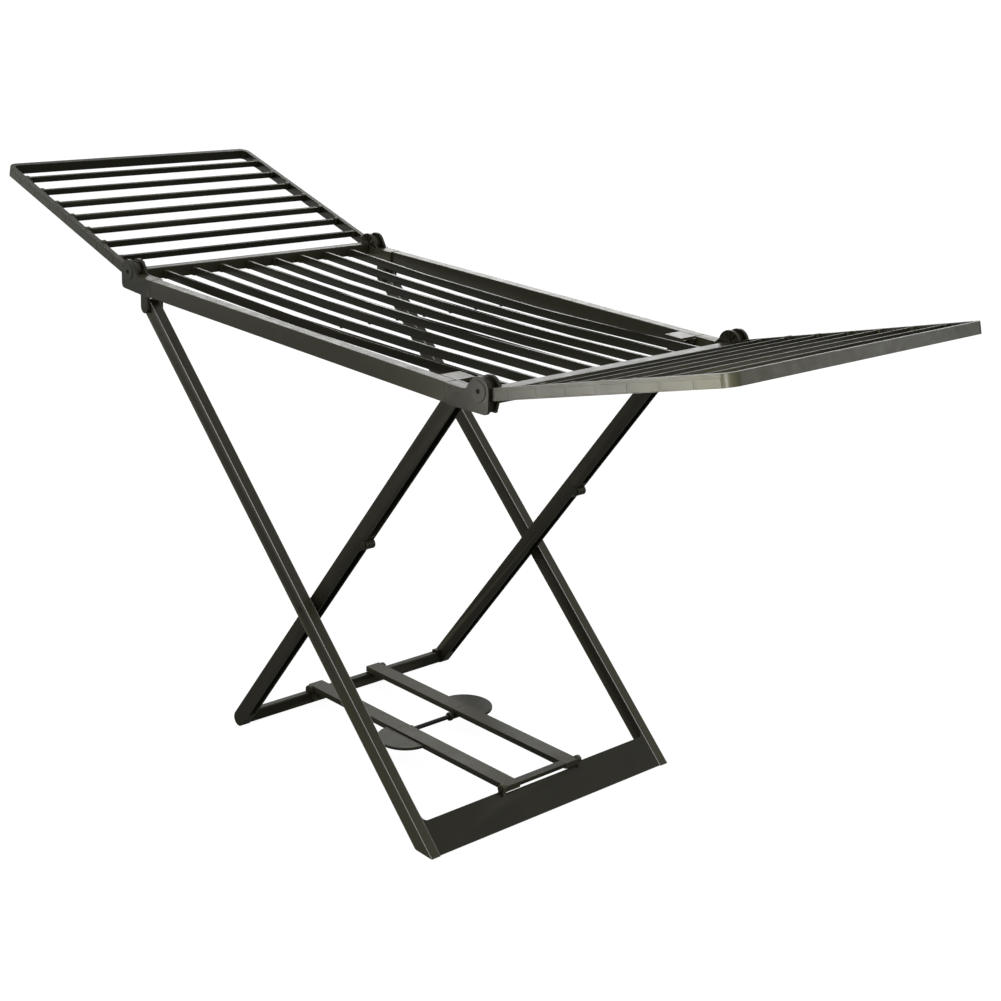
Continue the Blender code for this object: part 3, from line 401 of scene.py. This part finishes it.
def bracket_details(end, end_label, side, side_label):
    """The raised boss round the hinge pin, a dark disc of painted shadow over the pin, the fan of ribs inside and
    the cap over the joint.
    """
    name = "%s_%s" % (end_label, side_label)
    hinge = HINGE[end]
    low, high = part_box("corner_bracket_" + name)
    outer = high.y if side > 0 else low.y
    inner = low.y if side > 0 else high.y
    rail_low, rail_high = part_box("deck_rail_" + side_label)
    boss, boss_rise, hole = 0.0150, 0.0009, 0.0034
    ring("hinge_boss_" + name, "deck", hinge, hole, boss, outer - side * 0.0005,
         outer + side * boss_rise, 0.0005)
    # A near-black disc over the hinge pin is painted shadow standing in for a recessed bore; the cheek has no real
    # recess.
    ring("hinge_bore_shadow_disc_" + name, "deck", hinge, 0.0, hole + 0.0003, outer, outer + side * 0.0004, 0.0,
         material=BORE_SHADE)
    pin_low, pin_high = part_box("hinge_pin_" + name)
    cheek = pin_low.y if side > 0 else pin_high.y
    fan("cheek_fan_" + name, "deck", hinge, cheek, -side)
    # The cap carries the rail's rounded top on over the bracket.
    rail_end = rail_high.x if end > 0 else rail_low.x
    x_from, x_to = sorted((rail_end + end * 0.0003, hinge.x - end * 0.0300))
    y_from, y_to = rail_low.y, rail_high.y
    block("bracket_cap_" + name, "deck", (x_from, y_from, rail_high.z - 0.010),
          (x_to, y_to, rail_high.z + 0.0001), 0.0024)


def slat_sockets():
    """Small collars where the slats run into the end bars."""
    for number in range(1, 9):
        low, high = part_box("deck_slat_%d" % number)
        for end, label in ENDS:
            tip = high.x if end > 0 else low.x
            x_from, x_to = sorted((tip + end * 0.0002, tip - end * 0.0075))
            block("slat_socket_%s_%d" % (label, number), "deck",
                  (x_from, low.y - 0.0013, high.z - 0.0150), (x_to, high.y + 0.0013, high.z - 0.0006),
                  0.0008)


def wing_panels(end, label):
    """Shallow raised panels along the wing's side rails, one between each two rods."""
    low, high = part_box("wing_" + label)
    hinge = HINGE[end]
    reach = abs((high.x if end > 0 else low.x) - hinge.x)
    lift = math.atan2(high.z - hinge.z - 0.004, reach)
    turn = Matrix.Translation(hinge) @ Matrix.Scale(end, 4, (1, 0, 0))
    turn = turn @ Matrix.Rotation(-lift, 4, "Y")
    rods = 7
    length = reach / math.cos(lift)
    pitch = (length - 0.0046) / (rods + 1)
    start, margin, rise = 0.026, 0.0035, 0.00030
    for i in range(rods + 1):
        x_from, x_to = max(start, pitch * i + margin), pitch * (i + 1) - margin
        if i == rods:
            x_to = length - 0.020
        for side, side_label in SIDES:
            if i < rods:
                inside = high.y - 0.0092
                rise_here = 0.0020 if i == 0 else 0.0044    # the first one folds over the bracket
                y_from, y_to = sorted((side * (inside - 0.0075), side * (inside + 0.0030)))
                block("rod_end_%s_%s_%d" % (label, side_label, i), "wing_" + label,
                      (pitch * (i + 1) - 0.0040, y_from, -0.0100),
                      (pitch * (i + 1) + 0.0040, y_to, rise_here), 0.0012, turn)
            y_from, y_to = sorted((side * (high.y - 0.0006), side * (high.y + rise)))
            block("wing_panel_%s_%s_%d" % (label, side_label, i), "wing_" + label,
                  (x_from, y_from, -0.0126), (x_to, y_to, -0.0006), 0.0003, turn)


def knee_knobs(side, label):
    """Round ends on the knee pin, standing proud of the leg on both faces."""
    low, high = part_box("knee_pin_" + label)
    for name, y, out in (("near", low.y, -1), ("far", high.y, 1)):
        ring("knee_knob_%s_%s" % (label, name), "brace_lower", KNEE, 0.0, 0.0058,
             y - out * 0.0003, y + out * 0.0012, 0.0006)


def stretcher_details():
    """Clips on the middle axle and round bosses at the front corners."""
    axle_low, axle_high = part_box("stretcher_axle")
    for side, label in SIDES:
        edge = axle_low.y if side < 0 else axle_high.y
        y_in = edge - side * 0.0300
        ring("axle_clip_" + label, "stretcher_rear", AXLE, 0.0, 0.0078, y_in - side * 0.0105,
             y_in - side * 0.0045, 0.0010)
        low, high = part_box("strut_lug_pin_" + label)
        tip = low.y if side < 0 else high.y
        ring("lug_boss_" + label, "main_legs", LUG, 0.0, 0.0056, tip - side * 0.0006,
             tip + side * 0.0016, 0.0007)


def pivot_details(side, label):
    """Round heads where the main legs' upper pins come through the bracket ears."""
    low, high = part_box("deck_pivot_pin_" + label)
    tip = low.y if side < 0 else high.y
    ring("pivot_head_" + label, "deck", MAIN_PIVOT, 0.0, 0.0052, tip, tip + side * 0.0010, 0.0005)


for end, end_label in ENDS:
    wing_panels(end, end_label)
    for side, side_label in SIDES:
        bracket_details(end, end_label, side, side_label)
for side, side_label in SIDES:
    side_rail(side, side_label)
    knee_knobs(side, side_label)
    pivot_details(side, side_label)
slat_sockets()
stretcher_details()


# ---------------------------------------------------------------- studio
def emitter(name, place, target, width, height, power, spread=180):
    light = bpy.data.lights.new(name, "AREA")
    light.shape = "RECTANGLE"
    light.spread = math.radians(spread)
    light.size = width
    light.size_y = height
    light.energy = power
    obj = bpy.data.objects.new(name, light)
    obj.location = place
    obj.rotation_euler = (Vector(target) - Vector(place)).to_track_quat("-Z", "Y").to_euler()
    obj.visible_camera = False
    bpy.context.scene.collection.objects.link(obj)
    return obj


def eye_or_air(tree, seen, light):
    """One strength for what the eye sees and another for the light that falls on the airer."""
    ray = tree.nodes.new("ShaderNodeLightPath").outputs["Is Camera Ray"]
    strength = tree.nodes.new("ShaderNodeMapRange")
    strength.inputs["To Min"].default_value = light
    strength.inputs["To Max"].default_value = seen
    tree.links.new(ray, strength.inputs["Value"])
    return strength.outputs["Result"]


AIR_SEEN = 1.1
AIR_LIGHT = 0.55
FLOOR_SEEN = 0.95
FLOOR_LIGHT = 0.05


def studio_floor():
    bm = bmesh.new()
    bmesh.ops.create_grid(bm, x_segments=2, y_segments=2, size=12.0)
    mesh = bpy.data.meshes.new("studio_floor")
    bm.to_mesh(mesh)
    bm.free()
    floor = bpy.data.objects.new("studio_floor", mesh)
    bpy.context.scene.collection.objects.link(floor)
    floor.location.z = cad_low.z - 0.0005
    material, tree, shader = new_material("white_sweep")
    coords = tree.nodes.new("ShaderNodeTexCoord").outputs["Object"]
    tone = ramp(tree, noise(tree, coords, 0.6), [(0.3, 0.17), (0.7, 0.19)])
    tree.links.new(tone, shader.inputs["Base Color"])
    shader.inputs["Roughness"].default_value = 0.9
    shader.inputs["Specular IOR Level"].default_value = 0.0
    shader.inputs["Emission Color"].default_value = (1.0, 1.0, 1.0, 1.0)
    tree.links.new(eye_or_air(tree, FLOOR_SEEN, FLOOR_LIGHT), shader.inputs["Emission Strength"])
    mesh.materials.append(material)


def studio_world():
    """White all round: plain white to the eye, a little softer as light on the airer."""
    world = bpy.data.worlds.new("studio_air")
    world.use_nodes = True
    tree = world.node_tree
    background = tree.nodes["Background"]
    background.inputs["Color"].default_value = (1.0, 1.0, 1.0, 1.0)
    tree.links.new(eye_or_air(tree, AIR_SEEN, AIR_LIGHT), background.inputs["Strength"])
    bpy.context.scene.world = world
    bpy.context.scene.view_settings.view_transform = "Standard"


CAMERA_AZIMUTH = -46.70      # degrees, from +Y towards +X
CAMERA_TILT = 18.78
CAMERA_ROLL = 2.96
CAMERA_LENS = 64.00
CAMERA_PLACE = (2.1994, -1.8664, 1.4094)


def studio_camera():
    azimuth, tilt, roll = map(math.radians, (CAMERA_AZIMUTH, CAMERA_TILT, CAMERA_ROLL))
    forward = Vector((math.sin(azimuth) * math.cos(tilt), math.cos(azimuth) * math.cos(tilt),
                      -math.sin(tilt)))
    right = Vector((math.cos(azimuth), -math.sin(azimuth), 0.0))
    up = right.cross(forward)
    across = right * math.cos(roll) + up * math.sin(roll)
    upright = up * math.cos(roll) - right * math.sin(roll)
    turn = Matrix((across, upright, -forward)).transposed().to_4x4()
    camera = bpy.data.objects.new("camera", bpy.data.cameras.new("camera"))
    camera.data.lens = CAMERA_LENS
    camera.data.sensor_width = 36.0
    camera.matrix_world = Matrix.Translation(CAMERA_PLACE) @ turn
    bpy.context.scene.collection.objects.link(camera)
    bpy.context.scene.camera = camera


studio_floor()
studio_world()
studio_camera()
emitter("back_light", (-1.25, 1.25, 1.20), (0.0, 0.0, 0.80), 3.6, 0.36, 2.6, 70)
emitter("top_light", (-0.3, 0.4, 3.4), (0.0, 0.0, 0.6), 2.4, 1.8, 5)
emitter("left_light", (-3.4, -2.9, 0.75), (0.0, -0.2, 0.65), 3.0, 1.3, 8, 120)
emitter("front_light", (0.30, -0.85, 0.66), (0.74, -0.27, 0.86), 0.50, 0.28, 0.60, 70)
emitter("corner_light", (1.16, -1.10, 0.60), (0.875, -0.26, 0.87), 0.16, 0.20, 0.40, 20)
emitter("tip_light", (2.7, 2.4, 1.20), (0.88, 0.0, 0.88), 0.5, 0.5, 0.08, 20)
